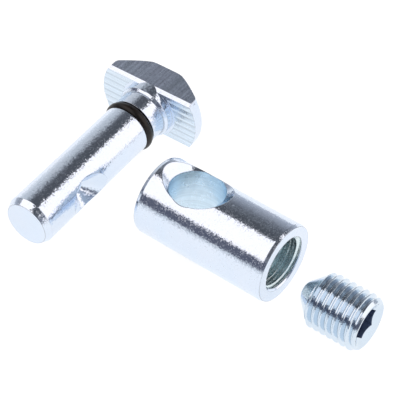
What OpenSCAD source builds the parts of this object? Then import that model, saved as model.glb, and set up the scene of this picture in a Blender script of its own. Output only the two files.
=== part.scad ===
// Profile quick connector: a threaded sleeve with a cross bore, a T-head pin
// with its O-ring, and a cone-point set screw, lying apart as they are sold.
// Millimetres, +Z up. The origin is where the cross bore meets the sleeve's
// axis, +X runs along that axis towards the threaded mouth.

/* [Sleeve] */
// Outside diameter of the sleeve
sleeve_d = 14; // [13.5:0.1:18]
// Length of the sleeve
sleeve_l = 25.5; // [23:0.5:34]
// Closed end of the sleeve to the axis of the cross bore
bore_inset = 7.5; // [7:0.1:9]
// Depth of the countersink at each end of the cross bore
bore_sink = 1.7; // [0.4:0.1:2]
// Chamfer on both outer edges of the sleeve
sleeve_chamfer = 0.4; // [0.2:0.1:0.8]
// Turn of the sleeve about its own axis as it lies
sleeve_roll = 8; // [0:1:20]

/* [Thread] */
// Nominal diameter of the set screw's thread
thread_d = 10; // [9:0.1:10.5]
// Pitch of the thread
thread_pitch = 1.25; // [1:0.05:1.5]
// How much wider than the thread the countersunk mouth is
mouth_extra = 0.6; // [0.2:0.1:1]

/* [Set screw] */
// Length of the set screw over its cone point
screw_l = 12.45; // [11:0.05:20]
// Diameter over the crests of its thread
screw_d = 9.8; // [9.4:0.05:10]
// Radius of the blunt end of the cone point
tip_r = 1.3; // [0.6:0.1:1.8]
// Width across the flats of the hex socket
socket_af = 5; // [4:0.5:5.5]
// Depth of the hex socket
socket_depth = 5; // [3:0.5:6]
// Diameter of the countersink that leads the key in
socket_sink_d = 8; // [6.6:0.1:8.2]
// Angle of that countersink from wall to wall
socket_sink_angle = 120; // [90:5:130]
// Width of the narrow rim left around that countersink
crown_w = 0.3; // [0.02:0.01:0.5]
// Length of the taper at the socket end of the thread
crown_l = 1; // [0.8:0.1:2]
// Turn of the hex socket about the screw's axis
socket_roll = 12; // [0:1:59]

/* [T-head pin] */
// Diameter of the shank and its collar
pin_d = 9.2; // [8.6:0.1:9.6]
// Free end to the underside of the head
shank_l = 34.05; // [33:0.05:46]
// Radial depth of the lead taper at the free end
lead_depth = 0.6; // [0.3:0.1:1]
// Length of the lead taper
lead_l = 1.2; // [0.6:0.1:2]
// Diameter of the round boss under the head
boss_d = 10.3; // [10.2:0.05:10.6]
// Length of the boss, its stepped foot included
boss_l = 1.75; // [1.2:0.05:2.5]
// Length of the step from the collar up to the boss
boss_step = 0.45; // [0.3:0.05:0.8]
// Free end to the middle of the O-ring groove
ring_at = 28.3; // [26:0.05:29]
// Free end to the axis of the conical dimple
dimple_at = 11.55; // [10:0.05:16]
// Depth of the dimple's cone, measured to its theoretical point
dimple_depth = 4.35; // [2.5:0.05:4.8]

/* [T-head] */
// Length of the head across its round ends
head_d = 20.1; // [17:0.1:24]
// Width of the head and its boss across the flats
head_w = 10.2; // [10:0.05:10.2]
// Height of the cylindrical rim
rim_h = 2.3; // [1.8:0.1:3]
// Height of the whole head
head_h = 5.8; // [4.5:0.1:7]
// Diameter of the plateau on the back of the head
plateau_d = 11.7; // [10.6:0.1:14]
// How far the bevel under the flats cuts into them sideways
bevel_w = 0.3; // [0.2:0.05:0.5]
// How far that bevel reaches up the flats
bevel_h = 0.8; // [0.4:0.1:1.2]
// Spacing of the grip ridges on the underside
ridge_pitch = 1.4; // [1:0.05:1.8]
// Depth of the grooves between the ridges
ridge_depth = 0.12; // [0.06:0.02:0.2]
// Plain ring of the underside left around the boss
ridge_free = 0.5; // [0.3:0.1:1]

/* [O-ring] */
// Thickness of the O-ring's cord
ring_cord = 1.9; // [1.8:0.1:2.6]
// How far the O-ring stands out of the shank
ring_proud = 0.35; // [0.1:0.05:0.45]

/* [Fits] */
// Diametral clearance of the pin in the cross bore
bore_clear = 0.4; // [0.2:0.1:0.6]
// Running clearance of the O-ring in its groove
ring_clear = 0.05; // [0.02:0.01:0.1]

/* [Layout] */
// Closed end of the sleeve to the axis of the pin's free end, measured along X
pin_gap = 14.4; // [14:0.1:24]
// How far the pin's free end lies in front of the cross bore
pin_front = 17.3; // [10:0.1:30]
// Turn of the pin on the floor from square to the sleeve
pin_yaw = 2; // [0:0.5:3]
// Threaded mouth to the point of the set screw
screw_gap = 4.6; // [2:0.1:12]
// Sideways shift of the set screw from the sleeve's axis
screw_shift = -0.8; // [-2:0.1:2]

/* [Hidden] */
$fn = 96;
eps = 0.01;
sleeve_r = sleeve_d / 2;
floor_z = -sleeve_r;
bore_r = (pin_d + bore_clear) / 2;
core_r = thread_d / 2 - 0.5 * thread_pitch;
mouth_r = (thread_d + mouth_extra) / 2;
mouth_x = sleeve_l - bore_inset;
pin_r = pin_d / 2;
boss_r = boss_d / 2;
ring_r = pin_r + ring_proud - ring_cord / 2;
groove_r = ring_r - ring_cord / 2 - ring_clear;
groove_w = ring_cord + 2 * ring_clear;
collar_end = shank_l - boss_l;
head_r = head_d / 2;
pin_z = floor_z + max(head_w / 2, pin_r + ring_proud);
dimple_tip = tip_r;
screw_r = screw_d / 2;
screw_x = mouth_x + screw_gap;
socket_sink_r = socket_sink_d / 2;
thread_depth = 0.6 * thread_pitch;
zinc = [0.74, 0.77, 0.82];
rubber = [0.05, 0.05, 0.05];

// Stands a solid drawn upwards along +X instead.
module along_x() rotate([0, 90, 0]) children();

// Puts a solid drawn upwards from the pin's free end where the pin lies.
module on_pin() {
    translate([-bore_inset - pin_gap, -pin_front, pin_z])
        rotate([0, 0, pin_yaw]) rotate([-90, 0, 0]) children();
}

// Outline of whole V turns cut from radius r to r + depth, up to height top.
function turns(r, depth, count, top) = [
    for (i = [count : -1 : 1])
        each [
            [r, top - (i - 1 / 8) * thread_pitch],
            [r + depth, top - (i - 1 / 2) * thread_pitch],
            [r, top - (i - 7 / 8) * thread_pitch]
        ]
];

// The turn keeps the revolve's seam clear of the cross bore.
module sleeve_blank() {
    c = sleeve_chamfer;
    rotate([0, 0, 52.5]) rotate_extrude() polygon([
        [0, 0], [sleeve_r - c, 0], [sleeve_r, c],
        [sleeve_r, sleeve_l - c], [sleeve_r - c, sleeve_l], [0, sleeve_l]
    ]);
}

// Tapped hole from the mouth into the cross bore, with its countersunk mouth.
// Its thread is rings at the real pitch, each as deep as the real groove.
module tapped_hole() {
    top = mouth_x - mouth_r + core_r;
    count = floor((top - bore_r - 1) / thread_pitch);
    rotate_extrude() polygon(concat(
        [[0, 0], [core_r, 0]],
        turns(core_r, thread_d / 2 - core_r, count, top),
        [[core_r, top], [mouth_r + eps, mouth_x + eps], [0, mouth_x + eps]]
    ));
}

// Cross bore through the sleeve, countersunk from both sides.
module cross_bore() {
    cylinder(r = bore_r, h = 3 * sleeve_r, center = true);
    reach = bore_sink + 1;
    for (side = [0, 180])
        rotate([side, 0, 0]) translate([0, 0, sleeve_r - bore_sink])
            cylinder(r1 = bore_r, r2 = bore_r + reach, h = reach);
}

module sleeve() {
    color(zinc) rotate([-sleeve_roll, 0, 0]) difference() {
        translate([-bore_inset, 0, 0]) along_x() sleeve_blank();
        along_x() tapped_hole();
        cross_bore();
    }
}

// Shank, collar and boss; the boss is milled to the width of the head's flats.
// The turn keeps the revolve's seam clear of the dimple.
module shank() {
    foot = ring_at - groove_w / 2;
    shoulder = ring_at + groove_w / 2;
    intersection() {
        rotate([0, 0, 67.5]) rotate_extrude() polygon([
            [0, 0], [pin_r - lead_depth, 0], [pin_r, lead_l],
            [pin_r, foot], [groove_r, foot],
            [groove_r, shoulder], [pin_r, shoulder],
            [pin_r, collar_end], [boss_r, collar_end + boss_step],
            [boss_r, shank_l + rim_h], [0, shank_l + rim_h]
        ]);
        cube([head_d, head_w, 3 * shank_l], center = true);
    }
}

// Seat for the set screw's cone point, facing along the head's long side.
module dimple() {
    start = pin_r - dimple_depth + dimple_tip;
    reach = pin_r + 1 - start;
    translate([start, 0, dimple_at]) along_x()
        cylinder(r1 = dimple_tip, r2 = dimple_tip + reach, h = reach);
}

// Turned head with its tapered back, cut to two bevelled flats.
module head_blank() {
    intersection() {
        rotate_extrude() polygon([
            [0, 0], [head_r, 0], [head_r, rim_h],
            [plateau_d / 2, head_h], [0, head_h]
        ]);
        half = head_w / 2;
        rotate([90, 0, 90]) linear_extrude(head_d + 2, center = true) polygon([
            [-half + bevel_w, 0], [half - bevel_w, 0], [half, bevel_h],
            [half, head_h], [-half, head_h], [-half, bevel_h]
        ]);
    }
}

// Shallow V grooves that leave ridges along the head, clear of the boss.
module ridge_grooves() {
    count = floor((head_w - 2 * bevel_w) / ridge_pitch);
    half = ridge_pitch / 2;
    difference() {
        for (i = [0 : count - 1])
            translate([0, (i - (count - 1) / 2) * ridge_pitch, 0])
                rotate([90, 0, 90]) linear_extrude(head_d + 2, center = true)
                    polygon([[-half, -eps], [half, -eps], [0, ridge_depth]]);
        translate([0, 0, -1]) cylinder(r = boss_r + ridge_free, h = 2);
    }
}

module t_pin() {
    color(zinc) on_pin() {
        difference() {
            shank();
            dimple();
        }
        translate([0, 0, shank_l]) difference() {
            head_blank();
            ridge_grooves();
        }
    }
}

module o_ring() {
    color(rubber) on_pin() translate([0, 0, ring_at])
        rotate_extrude() translate([ring_r, 0]) circle(d = ring_cord);
}

// Cone point, thread as rings at the real pitch, and tapered socket end.
module screw_blank() {
    top = screw_l - crown_l;
    count = floor((top - screw_r + tip_r) / thread_pitch);
    rotate_extrude() polygon(concat(
        [[0, 0], [tip_r, 0], [screw_r, screw_r - tip_r]],
        turns(screw_r, -thread_depth, count, top),
        [
            [screw_r, top], [socket_sink_r + crown_w, screw_l],
            [0, screw_l]
        ]
    ));
}

// Hex socket with the wide countersink that leads the key in.
module hex_socket() {
    sink = (socket_sink_r - socket_af / 2) / tan(socket_sink_angle / 2);
    translate([0, 0, screw_l - socket_depth]) rotate([0, 0, socket_roll])
        cylinder(d = socket_af / cos(30), h = socket_depth + 1, $fn = 6);
    translate([0, 0, screw_l - sink])
        cylinder(r1 = socket_af / 2, r2 = socket_sink_r + eps, h = sink + eps);
}

module set_screw() {
    color(zinc) translate([screw_x, screw_shift, floor_z + screw_r])
        along_x() difference() {
            screw_blank();
            hex_socket();
        }
}

sleeve();
t_pin();
o_ring();
set_screw();
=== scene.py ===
"""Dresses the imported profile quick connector: real threads, zinc plate, rubber and a white studio."""

import logging
import math
from dataclasses import dataclass, field
from enum import Enum
from typing import Any, NamedTuple

import bmesh
import bpy
from mathutils import Matrix, Vector


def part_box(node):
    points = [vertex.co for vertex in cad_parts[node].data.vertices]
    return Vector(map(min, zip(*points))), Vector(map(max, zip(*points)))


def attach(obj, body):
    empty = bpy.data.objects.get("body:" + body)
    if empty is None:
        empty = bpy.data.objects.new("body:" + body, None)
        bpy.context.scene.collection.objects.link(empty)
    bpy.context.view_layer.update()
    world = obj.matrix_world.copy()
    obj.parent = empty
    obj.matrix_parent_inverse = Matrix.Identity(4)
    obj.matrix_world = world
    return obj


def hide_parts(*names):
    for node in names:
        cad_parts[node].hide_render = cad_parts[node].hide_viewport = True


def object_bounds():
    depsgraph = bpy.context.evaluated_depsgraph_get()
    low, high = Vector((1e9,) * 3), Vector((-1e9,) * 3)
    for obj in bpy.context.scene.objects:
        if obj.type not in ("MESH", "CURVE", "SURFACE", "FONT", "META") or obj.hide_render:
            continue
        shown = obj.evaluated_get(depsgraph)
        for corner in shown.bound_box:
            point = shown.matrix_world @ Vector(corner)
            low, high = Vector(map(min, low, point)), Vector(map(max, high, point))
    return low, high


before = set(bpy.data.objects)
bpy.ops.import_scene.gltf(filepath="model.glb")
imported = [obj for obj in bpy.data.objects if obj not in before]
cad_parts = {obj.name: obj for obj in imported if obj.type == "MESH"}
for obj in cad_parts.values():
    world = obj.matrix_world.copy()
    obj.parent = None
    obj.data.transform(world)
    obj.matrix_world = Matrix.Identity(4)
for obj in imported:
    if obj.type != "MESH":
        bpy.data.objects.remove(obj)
CAD_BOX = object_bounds()

MM = 0.001
IMAGE_PX = 400
SENSOR_MM = 36.0

# Meshes are made in millimetres: how far a tool runs past what it cuts, and how near points are one.
PAST = 1.0
WELD = 1e-4
THREAD_WELD = 1e-3
ON_PLANE = 1e-5

# Facets around a turned form, and around one that shows large.
FACETS = 144
FINE_FACETS = 192

# A Mix node's colours go by number, because its other sockets have the same names.
MIX_A, MIX_B, MIX_OUT = 6, 7, 2

ALONG_X = Matrix.Rotation(math.radians(90), 4, "Y")
log = logging.getLogger("quick_connector")


class Cut(Enum):
    """How a tool meets the piece it is used on."""

    REMOVE = "DIFFERENCE"
    KEEP = "INTERSECT"
    JOIN = "UNION"


def linear(hex_colour: str) -> tuple[float, float, float, float]:
    """Turns an sRGB hex colour into linear light.

    Args:
        hex_colour: Six hex digits, with or without a leading hash.

    Returns:
        Red, green, blue and an alpha of one.
    """
    digits = hex_colour.lstrip("#")
    parts = (int(digits[i:i + 2], 16) / 255 for i in (0, 2, 4))
    red, green, blue = (
        c / 12.92 if c <= 0.04045 else ((c + 0.055) / 1.055) ** 2.4 for c in parts
    )
    return red, green, blue, 1.0


def add(tree: bpy.types.NodeTree, kind: str, settings: dict[str, Any],
        inputs: dict[str | int, Any]) -> bpy.types.Node:
    """Adds one node with its settings, values and links.

    Args:
        tree: The node tree that gets the node.
        kind: The node's type name.
        settings: Attributes of the node.
        inputs: Input name or number, each with a value or with the socket that feeds it.

    Returns:
        The new node.
    """
    node = tree.nodes.new(kind)
    for name, value in settings.items():
        setattr(node, name, value)
    for name, value in inputs.items():
        if isinstance(value, bpy.types.NodeSocket):
            tree.links.new(value, node.inputs[name])
        else:
            node.inputs[name].default_value = value
    return node


def new_material(name: str) -> tuple[bpy.types.Material, bpy.types.NodeTree]:
    """Makes an empty node material.

    Args:
        name: The real material's name.

    Returns:
        The material and its node tree.
    """
    material = bpy.data.materials.new(name)
    material.use_nodes = True
    material.node_tree.nodes.clear()
    return material, material.node_tree


class Lay(Enum):
    """Which way a cutting tool's fine lines repeat, as a stretch of the object's axes."""

    NONE = (0.0, 0.0, 0.0)
    ACROSS_X = (1.0, 0.03, 0.03)
    ACROSS_Z = (0.03, 0.03, 1.0)


class Loss(NamedTuple):
    """Darkening of a finish's colour in some places: painted shade along edges, in corners and in grooves,
    or knocks and tool marks.

    Attributes:
        where: The measure that tells the places.
        worst: Its value where the whole share is lost.
        clean: Its value where nothing is lost.
        share: The share of the colour that is darkened.
    """

    where: bpy.types.NodeSocket
    worst: float
    clean: float
    share: float


@dataclass(frozen=True)
class ZincPlate:
    """Bright zinc plating on steel, blue-passivated.

    Attributes:
        name: The material's name.
        colour: Reflected colour of the blue passivation.
        cloud: Colour of the faint lavender clouds in the passivation.
        cloud_mm: Width of the clouds.
        roughness: Roughness of the clean plate.
        wear_mm: Width of the patches that wear dulls.
        grain_mm: Width of the plating grain.
        grain_height_mm: Height of the plating grain.
        glint: Tilt of the few plating crystals that catch a light beside the reflection's edge.
        dull: Roughness that the dullest plating crystals add.
        lay: How the tool marks repeat.
        lay_mm: Spacing of the tool marks.
        lay_height_mm: Height of the tool marks.
        lay_shade: Share of the light that the deepest tool marks lose.
        tilt_deg: Turn of the tool marks about X.
        edge_mm: Radius that tumbling left on the edges.
        painted_edge_shade: Share of the colour darkened along the tumbled edges: a painted dark line that
            stands for the dark reflection of a rounded edge.
        painted_corner_shade: Share of the colour darkened in the tightest corners and thread roots: painted
            shade.
        corner_shade_mm: Reach of that painted corner shade.
        ridge_mm: Spacing of the ridges whose grooves get painted shade, or none.
        ridge_at_mm: Height of one ridge.
        painted_groove_shade: Share of the colour darkened in those grooves: painted shade.
        speck: Share of the light that the small knocks lose.
        speck_mm: Width of the knocks.
    """

    name: str
    colour: str = "d4e4f6"
    cloud: str = "e0e7f3"
    cloud_mm: float = 6.0
    roughness: float = 0.09
    wear_mm: float = 1.4
    grain_mm: float = 0.2
    grain_height_mm: float = 0.003
    glint: float = 0.5
    dull: float = 0.0
    lay: Lay = Lay.NONE
    lay_mm: float = 0.3
    lay_height_mm: float = 0.01
    lay_shade: float = 0.1
    tilt_deg: float = 0.0
    edge_mm: float = 0.18
    painted_edge_shade: float = 0.0
    painted_corner_shade: float = 0.0
    corner_shade_mm: float = 0.8
    ridge_mm: float = 0.0
    ridge_at_mm: float = 0.0
    painted_groove_shade: float = 0.2
    speck: float = 0.0
    speck_mm: float = 0.9

    def wear(self, tree: bpy.types.NodeTree, place: bpy.types.NodeSocket,
             crystals: bpy.types.NodeSocket) -> bpy.types.NodeSocket:
        """Adds the plate's roughness.

        Args:
            tree: The material's node tree.
            place: Object coordinates.
            crystals: A random colour for each plating crystal.

        Returns:
            The roughness.
        """
        patches = add(tree, "ShaderNodeTexNoise", {}, {
            "Vector": place, "Scale": 1 / (self.wear_mm * MM), "Detail": 4.0, "Roughness": 0.65})
        worn = add(tree, "ShaderNodeMapRange", {}, {
            "Value": patches.outputs["Fac"], "From Min": 0.35, "From Max": 0.75,
            "To Min": self.roughness * 0.8, "To Max": self.roughness * 1.35})
        matt = add(tree, "ShaderNodeMapRange", {}, {
            "Value": crystals, "From Min": 0.5, "From Max": 0.8, "To Max": self.dull})
        return add(tree, "ShaderNodeMath", {"operation": "ADD"}, {
            0: worn.outputs["Result"], 1: matt.outputs["Result"]}).outputs[0]

    def grain(self, tree: bpy.types.NodeTree, place: bpy.types.NodeSocket, crystals: bpy.types.NodeSocket,
              edge: bpy.types.NodeSocket) -> bpy.types.NodeSocket:
        """Adds the plating grain, with the few crystals that lean.

        Args:
            tree: The material's node tree.
            place: Object coordinates.
            crystals: A random colour for each plating crystal.
            edge: The normal with its tumbled edges.

        Returns:
            The normal with the grain.
        """
        tilt = add(tree, "ShaderNodeVectorMath", {"operation": "SUBTRACT"}, {
            0: crystals, 1: (0.5, 0.5, 0.5)}).outputs["Vector"]
        few = add(tree, "ShaderNodeVectorMath", {"operation": "MULTIPLY"}, {0: tilt, 1: tilt})
        rare = add(tree, "ShaderNodeVectorMath", {"operation": "MULTIPLY"}, {
            0: few.outputs["Vector"], 1: tilt})
        lean = add(tree, "ShaderNodeVectorMath", {"operation": "SCALE"}, {
            0: rare.outputs["Vector"], "Scale": self.glint})
        leant = add(tree, "ShaderNodeVectorMath", {"operation": "ADD"}, {0: edge, 1: lean.outputs["Vector"]})
        even = add(tree, "ShaderNodeVectorMath", {"operation": "NORMALIZE"}, {0: leant.outputs["Vector"]})
        grains = add(tree, "ShaderNodeTexNoise", {}, {
            "Vector": place, "Scale": 1 / (self.grain_mm * MM), "Detail": 2.0, "Roughness": 0.55})
        return add(tree, "ShaderNodeBump", {}, {
            "Strength": 1.0, "Distance": self.grain_height_mm * MM,
            "Height": grains.outputs["Fac"], "Normal": even.outputs["Vector"]}).outputs["Normal"]

    def tool_marks(self, tree: bpy.types.NodeTree, place: bpy.types.NodeSocket) -> bpy.types.NodeSocket:
        """Adds the fine lines that the cutting tool left.

        Args:
            tree: The material's node tree.
            place: Object coordinates.

        Returns:
            Their height, from zero to one.
        """
        turned = add(tree, "ShaderNodeMapping", {}, {
            "Vector": place, "Rotation": (math.radians(self.tilt_deg), 0.0, 0.0)})
        stretched = add(tree, "ShaderNodeVectorMath", {"operation": "MULTIPLY"}, {
            0: turned.outputs["Vector"], 1: self.lay.value})
        return add(tree, "ShaderNodeTexNoise", {}, {
            "Vector": stretched.outputs["Vector"], "Scale": 1 / (self.lay_mm * MM),
            "Detail": 2.0, "Roughness": 0.6}).outputs["Fac"]

    def losses(self, tree: bpy.types.NodeTree, place: bpy.types.NodeSocket,
               edge: bpy.types.NodeSocket) -> list[Loss]:
        """Adds where painted shade darkens the plate at edges, corners and ridge grooves, and where knocks
        dim it.

        Args:
            tree: The material's node tree.
            place: Object coordinates.
            edge: The normal with its tumbled edges.

        Returns:
            The darkening of the colour for each of them.
        """
        made = []
        # Painted shade: a dark line along the edges, where the tumbled normal bends away from the surface's
        # own.
        if self.painted_edge_shade:
            shape = add(tree, "ShaderNodeNewGeometry", {}, {})
            meet = add(tree, "ShaderNodeVectorMath", {"operation": "DOT_PRODUCT"}, {
                0: edge, 1: shape.outputs["Normal"]})
            made.append(Loss(meet.outputs["Value"], worst=0.9, clean=0.985, share=self.painted_edge_shade))
        # Painted shade in the tightest corners and thread roots, from how closely the piece surrounds each
        # point.
        if self.painted_corner_shade:
            corner = add(tree, "ShaderNodeAmbientOcclusion", {"samples": 8, "only_local": True}, {
                "Distance": self.corner_shade_mm * MM})
            made.append(Loss(corner.outputs["AO"], worst=0.2, clean=0.5, share=self.painted_corner_shade))
        # Painted shade in each groove between the ridges.
        if self.ridge_mm:
            # A wave texture repeats every tau / 20 of its scaled length.
            wave = add(tree, "ShaderNodeTexWave", {"bands_direction": "Z", "wave_profile": "TRI"}, {
                "Vector": place, "Scale": math.tau / (20 * self.ridge_mm * MM),
                "Phase Offset": -math.tau * self.ridge_at_mm / self.ridge_mm})
            made.append(Loss(wave.outputs["Fac"], worst=1.0, clean=0.5, share=self.painted_groove_shade))
        if self.speck:
            knocks = add(tree, "ShaderNodeTexNoise", {}, {
                "Vector": place, "Scale": 1 / (self.speck_mm * MM), "Detail": 3.0, "Roughness": 0.7})
            made.append(Loss(knocks.outputs["Fac"], worst=0.74, clean=0.69, share=self.speck))
        return made

    def tint(self, tree: bpy.types.NodeTree, place: bpy.types.NodeSocket,
             losses: list[Loss]) -> bpy.types.NodeSocket:
        """Adds the plate's colour.

        Args:
            tree: The material's node tree.
            place: Object coordinates.
            losses: Where the colour is darkened, painted shade among them.

        Returns:
            The reflected colour.
        """
        clouds = add(tree, "ShaderNodeTexNoise", {}, {
            "Vector": place, "Scale": 1 / (self.cloud_mm * MM), "Detail": 3.0, "Roughness": 0.6})
        colour = add(tree, "ShaderNodeMix", {"data_type": "RGBA"}, {
            "Factor": clouds.outputs["Fac"], MIX_A: linear(self.colour),
            MIX_B: linear(self.cloud)}).outputs[MIX_OUT]
        for loss in losses:
            left = add(tree, "ShaderNodeMapRange", {}, {
                "Value": loss.where, "From Min": loss.worst, "From Max": loss.clean,
                "To Min": 1.0 - loss.share, "To Max": 1.0})
            colour = add(tree, "ShaderNodeVectorMath", {"operation": "SCALE"}, {
                0: colour, "Scale": left.outputs["Result"]}).outputs["Vector"]
        return colour

    def build(self) -> bpy.types.Material:
        """Builds the plate's nodes.

        Returns:
            The finished material.
        """
        # A mirror of cool white: clouds of passivation tint it, wear dulls it in patches, and the
        # plating crystals, drawn coarser than their real few hundredths so that they show, lean a
        # little and fray the edges of each reflection; the dull ones speckle its dark parts.
        material, tree = new_material(self.name)
        place = add(tree, "ShaderNodeTexCoord", {}, {}).outputs["Object"]
        crystals = add(tree, "ShaderNodeTexVoronoi", {}, {
            "Vector": place, "Scale": 1 / (self.grain_mm * MM)}).outputs["Color"]
        edge = add(tree, "ShaderNodeBevel", {"samples": 6}, {"Radius": self.edge_mm * MM}).outputs["Normal"]
        normal = self.grain(tree, place, crystals, edge)
        # Painted shade darkens the colour along the edges, in the corners and in the ridges' grooves.
        losses = self.losses(tree, place, edge)
        if self.lay is not Lay.NONE:
            marks = self.tool_marks(tree, place)
            normal = add(tree, "ShaderNodeBump", {}, {
                "Strength": 1.0, "Distance": self.lay_height_mm * MM,
                "Height": marks, "Normal": normal}).outputs["Normal"]
            losses.append(Loss(marks, worst=0.35, clean=0.65, share=self.lay_shade))
        shader = add(tree, "ShaderNodeBsdfPrincipled", {}, {
            "Base Color": self.tint(tree, place, losses), "Metallic": 1.0,
            "Roughness": self.wear(tree, place, crystals), "Normal": normal})
        add(tree, "ShaderNodeOutputMaterial", {}, {"Surface": shader.outputs["BSDF"]})
        return material


@dataclass(frozen=True)
class NitrileRubber:
    """Moulded nitrile rubber.

    Attributes:
        name: The material's name.
        colour: Colour of the clean rubber.
        bloom: Colour of the brownish bloom.
        bloom_mm: Width of the bloom's patches.
        roughness: Roughness of the moulded skin.
        ior: Refractive index of the rubber.
        sheen: Share of the usual reflection that the dull skin keeps, where a half is all of it.
        grain_mm: Width of the skin's grain.
        grain_height_mm: Height of the skin's grain.
    """

    name: str = "moulded nitrile rubber"
    colour: str = "0b0908"
    bloom: str = "2c211b"
    bloom_mm: float = 0.9
    roughness: float = 0.34
    ior: float = 1.52
    sheen: float = 0.3
    grain_mm: float = 0.12
    grain_height_mm: float = 0.004

    def build(self) -> bpy.types.Material:
        """Builds the rubber's nodes.

        Returns:
            The finished material.
        """
        # Near-black with a soft sheen; a brownish bloom and the mould's fine skin break it up.
        material, tree = new_material(self.name)
        place = add(tree, "ShaderNodeTexCoord", {}, {}).outputs["Object"]
        bloom = add(tree, "ShaderNodeTexNoise", {}, {
            "Vector": place, "Scale": 1 / (self.bloom_mm * MM), "Detail": 4.0, "Roughness": 0.6})
        spread = add(tree, "ShaderNodeMapRange", {}, {
            "Value": bloom.outputs["Fac"], "From Min": 0.45, "From Max": 0.8})
        tint = add(tree, "ShaderNodeMix", {"data_type": "RGBA"}, {
            "Factor": spread.outputs["Result"], MIX_A: linear(self.colour), MIX_B: linear(self.bloom)})
        grain = add(tree, "ShaderNodeTexNoise", {}, {
            "Vector": place, "Scale": 1 / (self.grain_mm * MM), "Detail": 2.0})
        bump = add(tree, "ShaderNodeBump", {}, {
            "Strength": 1.0, "Distance": self.grain_height_mm * MM, "Height": grain.outputs["Fac"]})
        shader = add(tree, "ShaderNodeBsdfPrincipled", {}, {
            "Base Color": tint.outputs[MIX_OUT], "Roughness": self.roughness, "IOR": self.ior,
            "Specular IOR Level": self.sheen, "Normal": bump.outputs["Normal"]})
        add(tree, "ShaderNodeOutputMaterial", {}, {"Surface": shader.outputs["BSDF"]})
        return material


def lathe(profile: list[tuple[float, float]], facets: int = FACETS) -> bmesh.types.BMesh:
    """Turns a closed solid from a profile about Z.

    Args:
        profile: Radius and height pairs in millimetres, from the axis back to the axis.
        facets: Facets around the solid.

    Returns:
        The solid, in millimetres.
    """
    bm = bmesh.new()
    points = [bm.verts.new((radius, 0.0, height)) for radius, height in profile]
    edges = [bm.edges.new(pair) for pair in zip(points, points[1:])]
    bmesh.ops.spin(bm, geom=points + edges, cent=(0, 0, 0), axis=(0, 0, 1), dvec=(0, 0, 0),
                   angle=math.tau, steps=facets, use_merge=True, use_duplicate=False)
    bmesh.ops.remove_doubles(bm, verts=bm.verts, dist=WELD)
    bmesh.ops.recalc_face_normals(bm, faces=bm.faces)
    return bm


def round_bar(radius: float, foot: float, top: float, facets: int = FACETS) -> bmesh.types.BMesh:
    """Turns a plain round bar along Z.

    Args:
        radius: Its radius.
        foot: Height of its lower end.
        top: Height of its upper end.
        facets: Facets around it.

    Returns:
        The bar, in millimetres.
    """
    return lathe([(0, foot), (radius, foot), (radius, top), (0, top)], facets)


def countersink(tip_r: float, foot: float, top: float, facets: int = FACETS) -> bmesh.types.BMesh:
    """Turns a 90-degree countersinking tool along Z.

    Args:
        tip_r: Radius of its blunt lower end.
        foot: Height of its lower end.
        top: Height of its upper end.
        facets: Facets around it.

    Returns:
        The tool, in millimetres.
    """
    return lathe([(0, foot), (tip_r, foot), (tip_r + top - foot, top), (0, top)], facets)


def rounded(profile: list[tuple[float, float]], radii: dict[int, float],
            steps: int = 6) -> list[tuple[float, float]]:
    """Rounds chosen corners of a profile.

    Args:
        profile: Radius and height pairs in millimetres.
        radii: Number of a corner, with the radius it gets.
        steps: Lines in each arc.

    Returns:
        The profile with its arcs.
    """
    made = []
    for number, corner in enumerate(profile):
        if number not in radii:
            made.append(corner)
            continue
        here, radius = Vector(corner), radii[number]
        arms = [(Vector(profile[number + way]) - here).normalized() for way in (-1, 1)]
        half = arms[0].angle(arms[1]) / 2
        centre = here + (arms[0] + arms[1]).normalized() * radius / math.sin(half)
        spokes = [(here + arm * radius / math.tan(half) - centre).normalized() for arm in arms]
        for step in range(steps + 1):
            made.append(tuple(centre + spokes[0].slerp(spokes[1], step / steps) * radius))
    return made


def prism(outline: list[tuple[float, float]], length: float) -> bmesh.types.BMesh:
    """Draws a closed bar along X from its end face.

    Args:
        outline: Y and Z pairs of the end face in millimetres.
        length: Length of the bar, half on each side of the origin.

    Returns:
        The bar, in millimetres.
    """
    bm = bmesh.new()
    face = bm.faces.new([bm.verts.new((-length / 2, y, z)) for y, z in outline])
    drawn = bmesh.ops.extrude_face_region(bm, geom=[face], use_keep_orig=True)
    far = [item for item in drawn["geom"] if isinstance(item, bmesh.types.BMVert)]
    bmesh.ops.translate(bm, verts=far, vec=(length, 0, 0))
    bmesh.ops.recalc_face_normals(bm, faces=bm.faces)
    return bm


def trim(bm: bmesh.types.BMesh, planes: list[tuple[Vector, Vector]]) -> None:
    """Cuts off what lies beyond some planes and closes the cuts.

    Args:
        bm: The solid to trim.
        planes: A point of each plane, with the direction that is cut off.
    """
    for point, outwards in planes:
        bmesh.ops.bisect_plane(bm, geom=bm.verts[:] + bm.edges[:] + bm.faces[:], dist=ON_PLANE,
                               plane_co=point, plane_no=outwards, clear_outer=True)
    bmesh.ops.holes_fill(bm, edges=[e for e in bm.edges if e.is_boundary], sides=0)
    bmesh.ops.recalc_face_normals(bm, faces=bm.faces)


def to_object(bm: bmesh.types.BMesh, name: str, place: Matrix,
              material: bpy.types.Material) -> bpy.types.Object:
    """Makes an object at the origin from a mesh in millimetres, and frees the mesh.

    Args:
        bm: The mesh in millimetres.
        name: The object's name.
        place: Where the mesh goes, in millimetres.
        material: Its material.

    Returns:
        The object, with its place in its mesh.
    """
    bmesh.ops.transform(bm, matrix=Matrix.Scale(MM, 4) @ place, verts=bm.verts)
    mesh = bpy.data.meshes.new(name)
    bm.to_mesh(mesh)
    bm.free()
    mesh.materials.append(material)
    made = bpy.data.objects.new(name, mesh)
    bpy.context.scene.collection.objects.link(made)
    return made


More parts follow.
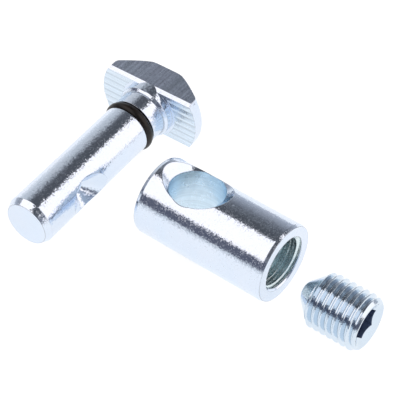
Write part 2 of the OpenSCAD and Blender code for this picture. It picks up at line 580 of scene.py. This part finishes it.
def carve(piece: bpy.types.Object, tool: bpy.types.Object, how: Cut) -> None:
    """Cuts or joins a piece with a tool, which is used up; faces of the tool keep its material.

    Args:
        piece: The piece to cut.
        tool: A closed solid.
        how: Whether the tool removes its own space, keeps only that, or is joined on.
    """
    cut = piece.modifiers.new("cut", "BOOLEAN")
    cut.object, cut.operation, cut.solver = tool, how.value, "EXACT"
    cut.material_mode = "TRANSFER"
    bpy.context.view_layer.update()
    done = bpy.data.meshes.new_from_object(
        piece.evaluated_get(bpy.context.evaluated_depsgraph_get()))
    done.name = piece.name
    piece.modifiers.clear()
    piece.data = done
    bpy.data.objects.remove(tool)


def smooth(piece: bpy.types.Object, limit_deg: float = 12.0) -> None:
    """Shades a piece smooth, with every edge past a limit kept sharp.

    Args:
        piece: The piece to shade.
        limit_deg: Largest angle between faces that still reads as one surface.
    """
    bm = bmesh.new()
    bm.from_mesh(piece.data)
    for face in bm.faces:
        face.smooth = True
    for edge in bm.edges:
        edge.smooth = edge.is_manifold and edge.calc_face_angle() < math.radians(limit_deg)
    bm.to_mesh(piece.data)
    bm.free()


@dataclass(frozen=True)
class Thread:
    """Metric thread, drawn as its true helix.

    Attributes:
        crest_r: Radius of the crests.
        root_r: Radius of the roots.
        pitch: Advance of one turn.
        flank_deg: Slope of the flanks.
        start_deg: Turn of the thread's start.
        steps: Facets around one turn.
    """

    crest_r: float
    root_r: float
    pitch: float = 1.25
    flank_deg: float = 30.0
    start_deg: float = 0.0
    steps: int = 72

    def rod(self, start: float, end: float) -> bmesh.types.BMesh:
        """Makes a closed threaded rod along Z.

        Args:
            start: Height of its lower end, in millimetres.
            end: Height of its upper end.

        Returns:
            The rod, in millimetres.
        """
        flank = (self.crest_r - self.root_r) * math.tan(math.radians(self.flank_deg))
        crest = self.pitch / 8
        root = self.pitch - crest - 2 * flank
        # Spare turns at both ends, which the trim cuts off square.
        turns = math.ceil((end - start) / self.pitch) + 3
        low = start - 2 * self.pitch
        rise = root / 2 + flank
        heights = (0, root / 2, rise, rise + crest, self.pitch - root / 2, self.pitch)
        radii = (self.root_r, self.root_r, self.crest_r, self.crest_r, self.root_r, self.root_r)
        bm = bmesh.new()
        points = [bm.verts.new((r, 0, low + h)) for r, h in zip(radii, heights)]
        edges = [bm.edges.new(pair) for pair in zip(points, points[1:])]
        bmesh.ops.spin(bm, geom=points + edges, cent=(0, 0, 0), axis=(0, 0, 1),
                       dvec=(0, 0, self.pitch / self.steps), angle=turns * math.tau,
                       steps=turns * self.steps, use_merge=False, use_duplicate=False)
        bmesh.ops.remove_doubles(bm, verts=bm.verts, dist=THREAD_WELD)
        trim(bm, [(Vector((0, 0, start)), Vector((0, 0, -1))), (Vector((0, 0, end)), Vector((0, 0, 1)))])
        bmesh.ops.rotate(bm, verts=bm.verts, matrix=Matrix.Rotation(math.radians(self.start_deg), 3, "Z"))
        return bm


@dataclass
class Sleeve:
    """Turned sleeve with a countersunk cross bore and a tapped hole.

    Attributes:
        plate: Finish of the outside.
        bored: Finish of the cross bore.
        tapped: Finish of the tapped hole.
        facets: Facets around the outside.
        chamfer: Width and length of the chamfer of the outer edges.
        bore_r: Radius of the cross bore.
        bore_sink: Depth of the bore's countersinks.
        roll_deg: Turn of the cross bore about the sleeve's axis.
        mouth_r: Radius of the countersunk mouth.
        mouth_l: Length of the tool that sinks the mouth.
        thread: The internal thread.
        core_wear: How much the thread's crests are cut back all round.
        core_facets: Facets around those crests.
    """

    plate: bpy.types.Material
    bored: bpy.types.Material
    tapped: bpy.types.Material
    facets: int = 240
    chamfer: tuple[float, float] = (0.22, 0.58)
    bore_r: float = 4.8
    bore_sink: float = 1.7
    roll_deg: float = 8.0
    mouth_r: float = 5.0
    mouth_l: float = 3.0
    thread: Thread = field(default_factory=lambda: Thread(5.0, 4.375, start_deg=70))
    core_wear: float = 0.05
    core_facets: int = 100

    def blank(self, low: float, high: float, radius: float) -> bmesh.types.BMesh:
        """Turns the sleeve's outside about Z.

        Args:
            low: Height of the closed end.
            high: Height of the mouth.
            radius: Outside radius.

        Returns:
            The blank, in millimetres.
        """
        across, along = self.chamfer
        return lathe([(0, low), (radius - across, low), (radius, low + along), (radius, high - along),
                      (radius - across, high), (0, high)], self.facets)

    def build(self) -> bpy.types.Object:
        """Builds the sleeve in place of its plain solid.

        Returns:
            The finished sleeve.
        """
        low, high = (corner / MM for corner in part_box("sleeve"))
        radius = (high.z - low.z) / 2
        body = to_object(self.blank(low.x, high.x, radius), "sleeve_turned", ALONG_X, self.plate)
        tap = self.thread.rod(self.bore_r + PAST, high.x + 2 * PAST)
        carve(body, to_object(tap, "tap", ALONG_X, self.tapped), Cut.REMOVE)
        core = round_bar(self.thread.root_r + self.core_wear, 0, high.x + 2 * PAST, self.core_facets)
        carve(body, to_object(core, "core", ALONG_X, self.tapped), Cut.REMOVE)
        mouth = countersink(self.mouth_r - self.mouth_l, high.x - self.mouth_l, high.x + PAST)
        carve(body, to_object(mouth, "mouth", ALONG_X, self.plate), Cut.REMOVE)
        roll = Matrix.Rotation(math.radians(-self.roll_deg), 4, "X")
        foot, top = radius - self.bore_sink - PAST, radius + PAST
        for side in (0, 180):
            sink = countersink(self.bore_r - PAST, foot, top, FINE_FACETS)
            over = roll @ Matrix.Rotation(math.radians(side), 4, "X")
            carve(body, to_object(sink, "sink", over, self.plate), Cut.REMOVE)
        drill = round_bar(self.bore_r, -top, top, FINE_FACETS)
        carve(body, to_object(drill, "drill", roll, self.bored), Cut.REMOVE)
        smooth(body)
        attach(body, "sleeve")
        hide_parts("sleeve")
        return body


@dataclass
class SetScrew:
    """Cone-point set screw with a real thread and a hex socket.

    Attributes:
        plate: Finish of the screw.
        broached: Finish inside the socket.
        thread: The external thread.
        tip_r: Radius of the blunt point.
        nose_r: Rounding between that and the cone.
        crown_r: Radius of the rim around the socket.
        crown_l: Length of the taper at the socket end.
        socket_af: Width across the socket's flats.
        socket_depth: Depth of the socket.
        socket_sink_r: Radius of the socket's countersink.
        socket_sink_deg: Angle of that countersink, from wall to wall.
        socket_sink_facets: Facets around that countersink.
        socket_roll_deg: Turn of the socket.
    """

    plate: bpy.types.Material
    broached: bpy.types.Material
    thread: Thread = field(default_factory=lambda: Thread(4.9, 4.13, start_deg=180))
    tip_r: float = 1.3
    nose_r: float = 2.4
    crown_r: float = 4.3
    crown_l: float = 1.0
    socket_af: float = 5.0
    socket_depth: float = 5.0
    socket_sink_r: float = 4.0
    socket_sink_deg: float = 120.0
    socket_sink_facets: int = 96
    socket_roll_deg: float = 12.0

    def blank(self, length: float, radius: float) -> bmesh.types.BMesh:
        """Turns the screw's outside, with its point rounded over.

        Args:
            length: Length over the point.
            radius: Radius over the crests.

        Returns:
            The blank, in millimetres.
        """
        return lathe(rounded([
            (0, 0), (self.tip_r, 0), (radius, radius - self.tip_r), (radius, length - self.crown_l),
            (self.crown_r, length), (0, length)], {1: self.nose_r}))

    def build(self) -> bpy.types.Object:
        """Builds the screw in place of its plain solid.

        Returns:
            The finished screw.
        """
        low, high = (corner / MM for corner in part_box("set_screw"))
        length, radius = high.x - low.x, (high.z - low.z) / 2
        place = Matrix.Translation((low.x, (low.y + high.y) / 2, (low.z + high.z) / 2)) @ ALONG_X
        screw = to_object(self.thread.rod(-PAST, length + PAST), "set_screw_cut", place, self.plate)
        carve(screw, to_object(self.blank(length, radius), "blank", place, self.plate), Cut.KEEP)
        flare = math.tan(math.radians(self.socket_sink_deg / 2))
        lead = lathe([(0, length - self.socket_sink_r / flare),
                      (self.socket_sink_r + flare * PAST, length + PAST),
                      (0, length + PAST)], self.socket_sink_facets)
        carve(screw, to_object(lead, "lead", place, self.plate), Cut.REMOVE)
        corner_r = self.socket_af / 2 / math.cos(math.radians(30))
        turn = Matrix.Rotation(math.radians(self.socket_roll_deg), 4, "Z")
        socket = bmesh.new()
        bmesh.ops.create_cone(socket, cap_ends=True, segments=6, depth=2 * self.socket_depth,
                              radius1=corner_r, radius2=corner_r,
                              matrix=Matrix.Translation((0, 0, length)) @ turn)
        carve(screw, to_object(socket, "socket", place, self.broached), Cut.REMOVE)
        smooth(screw)
        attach(screw, "set_screw")
        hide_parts("set_screw")
        return screw


@dataclass
class TPin:
    """T-head pin: turned shank and boss with a drilled dimple, and a milled, ridged head.

    Attributes:
        plate: Finish of what is turned.
        drilled: Finish of the dimple.
        faced: Finish of the bevels under the flats and of the plain ring around the boss.
        milled: Finish of the head's flats.
        ridged: Finish of the head's underside.
        place_mm: Middle of the free end.
        yaw_deg: Turn of the pin on the table.
        shank_r: Radius of the shank and collar.
        lead: Depth and length of the lead taper.
        groove: Lower end, upper end and radius of the O-ring groove.
        shank_l: Free end to the head's underside.
        boss: Radius and length of the boss, and how far it runs on into the head.
        boss_step: Width and length of the step that leads to the boss.
        boss_relief: How far the boss's flats lie below the head's, so that the two faces never fight.
        dimple: Free end to the dimple's axis, its depth to a sharp point and the radius of its floor.
        head_r: Half of the head's length.
        head_w: Width across the flats.
        rim_h: Height of the head's rim.
        head_h: Height of the head.
        plateau_r: Radius of the plateau on the head's back.
        worn_r: Rounding of the turned edges of the head's back.
        bevel: Width and height of the bevel under the flats.
        ridge: Spacing and depth of the ridges.
        ridge_relief: How far the ridges' tops lie below the plain ring.
        ring: Width of the plain ring around the boss, and how far it runs into the head.
    """

    plate: bpy.types.Material
    drilled: bpy.types.Material
    faced: bpy.types.Material
    milled: bpy.types.Material
    ridged: bpy.types.Material
    place_mm: tuple[float, float, float] = (-21.9, -17.3, -1.9)
    yaw_deg: float = 2.0
    shank_r: float = 4.6
    lead: tuple[float, float] = (0.6, 1.2)
    groove: tuple[float, float, float] = (27.3, 29.3, 3.0)
    shank_l: float = 34.05
    boss: tuple[float, float, float] = (5.15, 1.75, 1.2)
    boss_step: tuple[float, float] = (0.378, 0.45)
    boss_relief: float = 0.003
    dimple: tuple[float, float, float] = (11.55, 4.35, 1.3)
    head_r: float = 10.045
    head_w: float = 10.2
    rim_h: float = 2.3
    head_h: float = 5.8
    plateau_r: float = 5.85
    worn_r: float = 1.2
    bevel: tuple[float, float] = (0.3, 0.8)
    ridge: tuple[float, float] = (1.4, 0.12)
    ridge_relief: float = 0.004
    ring: tuple[float, float] = (0.5, 1.5)

    def place(self) -> Matrix:
        """Gives the matrix that lays the upright pin on the table."""
        return (Matrix.Translation(self.place_mm) @ Matrix.Rotation(math.radians(self.yaw_deg), 4, "Z")
                @ Matrix.Rotation(math.radians(-90), 4, "X"))

    def shank(self) -> bpy.types.Object:
        """Turns the shank with its boss, mills the boss and drills the dimple.

        Returns:
            The shank.
        """
        r, (foot, shoulder, groove_r) = self.shank_r, self.groove
        (boss_r, boss_l, root), (step_w, step_l) = self.boss, self.boss_step
        collar, top = self.shank_l - boss_l, self.shank_l + root
        bm = lathe([(0, 0), (r - self.lead[0], 0), (r, self.lead[1]), (r, foot), (groove_r, foot),
                    (groove_r, shoulder), (r, shoulder), (r, collar), (boss_r - step_w, collar),
                    (boss_r, collar + step_l), (boss_r, top), (0, top)], FINE_FACETS)
        flat = Vector((0, self.head_w / 2 - self.boss_relief, 0))
        trim(bm, [(-flat, -flat.normalized()), (flat, flat.normalized())])
        shank = to_object(bm, "t_pin_shank", self.place(), self.plate)
        at, depth, tip = self.dimple
        cone = countersink(tip, r - depth + tip, r + PAST)
        over = self.place() @ Matrix.Translation((0, 0, at)) @ ALONG_X
        carve(shank, to_object(cone, "cone", over, self.drilled), Cut.REMOVE)
        return shank

    def comb(self) -> bmesh.types.BMesh:
        """Draws the toothed tool that leaves the ridges under the head.

        Returns:
            The tool, in millimetres.
        """
        (pitch, depth), top, side = self.ridge, self.ridge_relief, self.head_w / 2 + PAST
        count = math.floor((self.head_w - 2 * self.bevel[0]) / pitch)
        teeth = [(pitch * (i / 2 - count / 2), depth if i % 2 else top) for i in range(2 * count + 1)]
        return prism([(side, -PAST), (-side, -PAST), (-side, top), *teeth, (side, top)],
                     2 * (self.head_r + PAST))

    def head(self) -> bpy.types.Object:
        """Turns the head, ridges its underside and mills its flats.

        Returns:
            The head.
        """
        place = self.place() @ Matrix.Translation((0, 0, self.shank_l))
        turned = rounded([(0, 0), (self.head_r, 0), (self.head_r, self.rim_h), (self.plateau_r, self.head_h),
                          (0, self.head_h)], {2: self.worn_r, 3: self.worn_r})
        head = to_object(lathe(turned, FINE_FACETS), "t_pin_milled", place, self.plate)
        carve(head, to_object(self.comb(), "comb", place, self.ridged), Cut.REMOVE)
        ring = round_bar(self.boss[0] + self.ring[0], 0, self.ring[1])
        carve(head, to_object(ring, "ring", place, self.faced), Cut.JOIN)
        half, length = self.head_w / 2, 2 * (self.head_r + PAST)
        low, high = -PAST, self.head_h + PAST
        mill = prism([(-half, low), (half, low), (half, high), (-half, high)], length)
        carve(head, to_object(mill, "mill", place, self.milled), Cut.KEEP)
        slope, foot = self.bevel[0] / self.bevel[1], half - self.bevel[0]
        bevel = prism([(-foot - low * slope, low), (foot + low * slope, low),
                       (foot + high * slope, high), (-foot - high * slope, high)], length)
        carve(head, to_object(bevel, "bevel", place, self.faced), Cut.KEEP)
        return head

    def build(self) -> bpy.types.Object:
        """Builds the pin in place of its plain solid.

        Returns:
            The finished pin.
        """
        pin = self.head()
        carve(pin, self.shank(), Cut.JOIN)
        smooth(pin)
        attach(pin, "t_pin")
        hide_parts("t_pin")
        return pin


@dataclass(frozen=True)
class Panel:
    """One lit or dark panel of the studio, given by where it stands around the table.

    Attributes:
        bearings: First and last bearing in degrees, from the camera's side, to the right.
        heights: Lowest and highest elevation in degrees.
        soft: How gently its upright and level edges fade, in degrees.
        light: Its light.
    """

    bearings: tuple[float, float]
    heights: tuple[float, float]
    soft: tuple[float, float]
    light: tuple[float, float, float]

    def hang(self, tree: bpy.types.NodeTree, bearing: bpy.types.NodeSocket, height: bpy.types.NodeSocket,
             behind: bpy.types.NodeSocket) -> bpy.types.NodeSocket:
        """Hangs the panel in front of what is behind it.

        Args:
            tree: The world's node tree.
            bearing: The looked-at bearing in degrees.
            height: The looked-at elevation in degrees.
            behind: The light that shows around the panel.

        Returns:
            The light with the panel in front.
        """
        shares = []
        for value, (low, high), soft in zip((bearing, height), (self.bearings, self.heights), self.soft):
            off = add(tree, "ShaderNodeMath", {"operation": "SUBTRACT"}, {0: value, 1: (low + high) / 2})
            size = add(tree, "ShaderNodeMath", {"operation": "ABSOLUTE"}, {0: off.outputs[0]})
            shares.append(add(tree, "ShaderNodeMapRange", {"interpolation_type": "SMOOTHSTEP"}, {
                "Value": size.outputs[0], "From Min": (high - low) / 2 + soft,
                "From Max": (high - low) / 2 - soft}).outputs["Result"])
        both = add(tree, "ShaderNodeMath", {"operation": "MULTIPLY"}, {0: shares[0], 1: shares[1]})
        return add(tree, "ShaderNodeMix", {"data_type": "RGBA"}, {
            "Factor": both.outputs[0], MIX_A: behind, MIX_B: (*self.light, 1.0)}).outputs[MIX_OUT]


@dataclass
class Studio:
    """White table between two large soft boxes, with the dark room showing behind them.

    Attributes:
        eye_mm: The camera's place.
        target_mm: The point at the picture's centre.
        focal_px: Focal length in pixels of the photograph.
        table_mm: Radius of the table.
        table_facets: Sides of the table.
        table_top: Colour of the table's top.
        table_light: Colour of the light under it.
        table_glow: How strongly that light comes through.
        room: Share of the way up the back wall, with the wall's light there.
        room_tint: Red, green and blue shares of the wall's light.
        panels: The pale wall on the left with its lit foot, the lit sweep at the front with the dark gap
            above it, and the two soft boxes.
    """

    eye_mm: tuple[float, float, float] = (113.18, -147.39, 202.76)
    target_mm: tuple[float, float, float] = (-5.228, 8.254, -7.0)
    focal_px: float = 1667.9
    table_mm: float = 3000.0
    table_facets: int = 96
    table_top: str = "959595"
    table_light: str = "ffffff"
    table_glow: float = 0.89
    room: tuple[tuple[float, float], ...] = (
        (0.0, 0.58), (0.05, 0.52), (0.17, 0.4), (0.29, 0.31), (0.41, 0.2), (0.53, 0.125), (0.63, 0.097),
        (0.72, 0.092), (0.8, 0.095), (1.0, 0.2))
    room_tint: tuple[float, float, float] = (1.0, 1.03, 1.14)
    panels: tuple[Panel, ...] = (
        Panel((-200, -140), (-20, 41), (6, 17), (0.66, 0.67, 0.69)),
        Panel((-200, -140), (-20, 15), (6, 4), (0.84, 0.85, 0.87)),
        Panel((-120, 40), (-10, 9), (6, 2), (0.82, 0.83, 0.85)),
        Panel((-110, 30), (7, 30.5), (3, 1.2), (0.122, 0.127, 0.168)),
        Panel((-136, -25), (30.5, 88), (2, 1.5), (1.42, 1.3, 1.26)),
        Panel((35, 119.5), (3, 64), (2.5, 2), (1.42, 1.3, 1.26)))

    def camera(self) -> None:
        """Sets up the camera at the photograph's view."""
        lens = bpy.data.cameras.new("camera")
        lens.sensor_width = SENSOR_MM
        lens.lens = SENSOR_MM * self.focal_px / IMAGE_PX
        lens.clip_start, lens.clip_end = 0.01, 20.0
        camera = bpy.data.objects.new("camera", lens)
        eye, target = Vector(self.eye_mm) * MM, Vector(self.target_mm) * MM
        camera.location = eye
        camera.rotation_euler = (target - eye).to_track_quat("-Z", "Y").to_euler()
        bpy.context.scene.collection.objects.link(camera)
        bpy.context.scene.camera = camera

    def floor(self) -> None:
        """Lays the white table under the pieces."""
        bm = bmesh.new()
        bmesh.ops.create_circle(bm, cap_ends=True, segments=self.table_facets, radius=self.table_mm)
        # A white table lit from below, so that shadows hardly show on it.
        material, tree = new_material("white light table")
        shader = add(tree, "ShaderNodeBsdfPrincipled", {}, {
            "Base Color": linear(self.table_top), "Roughness": 0.9, "Specular IOR Level": 0.0})
        glow = add(tree, "ShaderNodeEmission", {}, {
            "Color": linear(self.table_light), "Strength": self.table_glow})
        both = add(tree, "ShaderNodeAddShader", {}, {0: shader.outputs["BSDF"], 1: glow.outputs["Emission"]})
        add(tree, "ShaderNodeOutputMaterial", {}, {"Surface": both.outputs["Shader"]})
        table = to_object(bm, "table", Matrix.Translation((0, 0, CAD_BOX[0].z / MM)), material)

    def look(self, tree: bpy.types.NodeTree) -> tuple[bpy.types.NodeSocket, bpy.types.NodeSocket]:
        """Adds the direction in which the world is looked at.

        Args:
            tree: The world's node tree.

        Returns:
            The bearing, from the camera's side to the right, and the elevation, both in degrees.
        """
        back = Vector(self.target_mm) - Vector(self.eye_mm)
        back.z = 0
        back.normalize()
        right = Vector((back.y, -back.x, 0))
        way = add(tree, "ShaderNodeTexCoord", {}, {}).outputs["Generated"]
        sides = [add(tree, "ShaderNodeVectorMath", {"operation": "DOT_PRODUCT"}, {
            0: way, 1: tuple(axis)}).outputs["Value"] for axis in (right, -back, Vector((0, 0, 1)))]
        swing = add(tree, "ShaderNodeMath", {"operation": "ARCTAN2"}, {0: sides[0], 1: sides[1]})
        bearing = add(tree, "ShaderNodeMath", {"operation": "DEGREES"}, {0: swing.outputs[0]})
        lift = add(tree, "ShaderNodeMath", {"operation": "ARCSINE"}, {0: sides[2]})
        height = add(tree, "ShaderNodeMath", {"operation": "DEGREES"}, {0: lift.outputs[0]})
        return bearing.outputs[0], height.outputs[0]

    def light(self) -> None:
        """Surrounds the table with the soft boxes and the dark room."""
        scene = bpy.context.scene
        scene.view_settings.view_transform = "Standard"
        world = bpy.data.worlds.new("soft boxes")
        world.use_nodes = True
        tree = world.node_tree
        tree.nodes.clear()
        scene.world = world
        bearing, height = self.look(tree)
        share = add(tree, "ShaderNodeMapRange", {}, {"Value": height, "From Max": 90.0})
        wall = add(tree, "ShaderNodeValToRGB", {}, {0: share.outputs["Result"]})
        stops = wall.color_ramp.elements
        while len(stops) < len(self.room):
            stops.new(0.5)
        for stop, (spot, level) in zip(stops, self.room):
            stop.position, stop.color = spot, (*(level * part for part in self.room_tint), 1.0)
        light = wall.outputs["Color"]
        for panel in self.panels:
            light = panel.hang(tree, bearing, height, light)
        seen = add(tree, "ShaderNodeMix", {"data_type": "RGBA"}, {
            "Factor": add(tree, "ShaderNodeLightPath", {}, {}).outputs["Is Camera Ray"],
            MIX_A: light, MIX_B: (1, 1, 1, 1)})
        glow = add(tree, "ShaderNodeBackground", {}, {"Color": seen.outputs[MIX_OUT], "Strength": 1.0})
        add(tree, "ShaderNodeOutputWorld", {}, {"Surface": glow.outputs["Background"]})

    def build(self) -> None:
        """Builds the whole studio."""
        self.camera()
        self.floor()
        self.light()


def dress(node: str, material: bpy.types.Material) -> None:
    """Gives a carried-over solid its finish.

    Args:
        node: The solid's name.
        material: Its finish.
    """
    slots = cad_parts[node].data.materials
    slots.clear()
    slots.append(material)


def main() -> None:
    """Builds the studio and the connector's pieces, and reports each."""
    logging.basicConfig(level=logging.INFO, format="%(message)s")
    Studio().build()
    # Both plates darken their colour with painted shade along the edges and in the corners.
    turned = ZincPlate("zinc-plated turned steel", glint=0.4, painted_edge_shade=0.6, painted_corner_shade=0.3, speck=0.2, dull=0.18)
    drawn = ZincPlate("zinc-plated drawn steel", glint=0.7, painted_edge_shade=0.6, painted_corner_shade=0.3, speck=0.2, dull=0.17)
    bored = ZincPlate(
        "zinc-plated bored steel", colour="d6ecfc", cloud="dff0fc", roughness=0.3, grain_height_mm=0.01,
        glint=0.3, lay=Lay.ACROSS_Z, lay_mm=0.45, lay_height_mm=0.02, tilt_deg=Sleeve.roll_deg)
    # Painted shade darkens the tapped thread's roots.
    tapped = ZincPlate(
        "zinc-plated tapped steel", colour="dcecf0", cloud="e2eef2", roughness=0.24, grain_height_mm=0.01,
        glint=0.3, edge_mm=0.12, painted_corner_shade=0.1)
    # Painted shade darkens the rolled thread's roots.
    rolled = ZincPlate(
        "zinc-plated rolled thread", colour="d0e0ee", cloud="d6e2ee", roughness=0.1, grain_height_mm=0.012,
        glint=0.3, edge_mm=0.07, painted_corner_shade=0.75)
    # The socket's dark blue colour is painted shade inside its recess; the zinc there is also rougher.
    broached = ZincPlate("rough zinc with painted shade in a broached socket", colour="7c8fae", cloud="8496b4", roughness=0.45)
    drilled = ZincPlate("zinc-plated drilled steel", roughness=0.1, glint=0.6)
    faced = ZincPlate(
        "zinc-plated faced steel", roughness=0.14, grain_height_mm=0.006, glint=0.3, edge_mm=0.06)
    milled = ZincPlate(
        "zinc-plated milled steel", colour="cbdbea", cloud="d0d6ec", roughness=0.24, grain_height_mm=0.004,
        glint=0.3, lay=Lay.ACROSS_X, lay_mm=0.5, lay_height_mm=0.015, lay_shade=0.25)
    # Painted shade darkens each groove between the ridges under the head.
    knurled = ZincPlate(
        "zinc-plated knurled steel", colour="daecfb", cloud="e2edf9", roughness=0.28, grain_height_mm=0.01,
        glint=0.3, lay=Lay.ACROSS_Z, lay_mm=0.5, lay_height_mm=0.02, edge_mm=0.05,
        ridge_mm=TPin.ridge[0], ridge_at_mm=TPin.place_mm[2])
    makers = (
        Sleeve(plate=turned.build(), bored=bored.build(), tapped=tapped.build()),
        SetScrew(plate=rolled.build(), broached=broached.build()),
        TPin(plate=drawn.build(), drilled=drilled.build(), faced=faced.build(), milled=milled.build(),
             ridged=knurled.build()))
    for maker in makers:
        piece = maker.build()
        log.info("%s: %d faces", piece.name, len(piece.data.polygons))
    dress("o_ring", NitrileRubber().build())


if __name__ == "__main__":
    main()
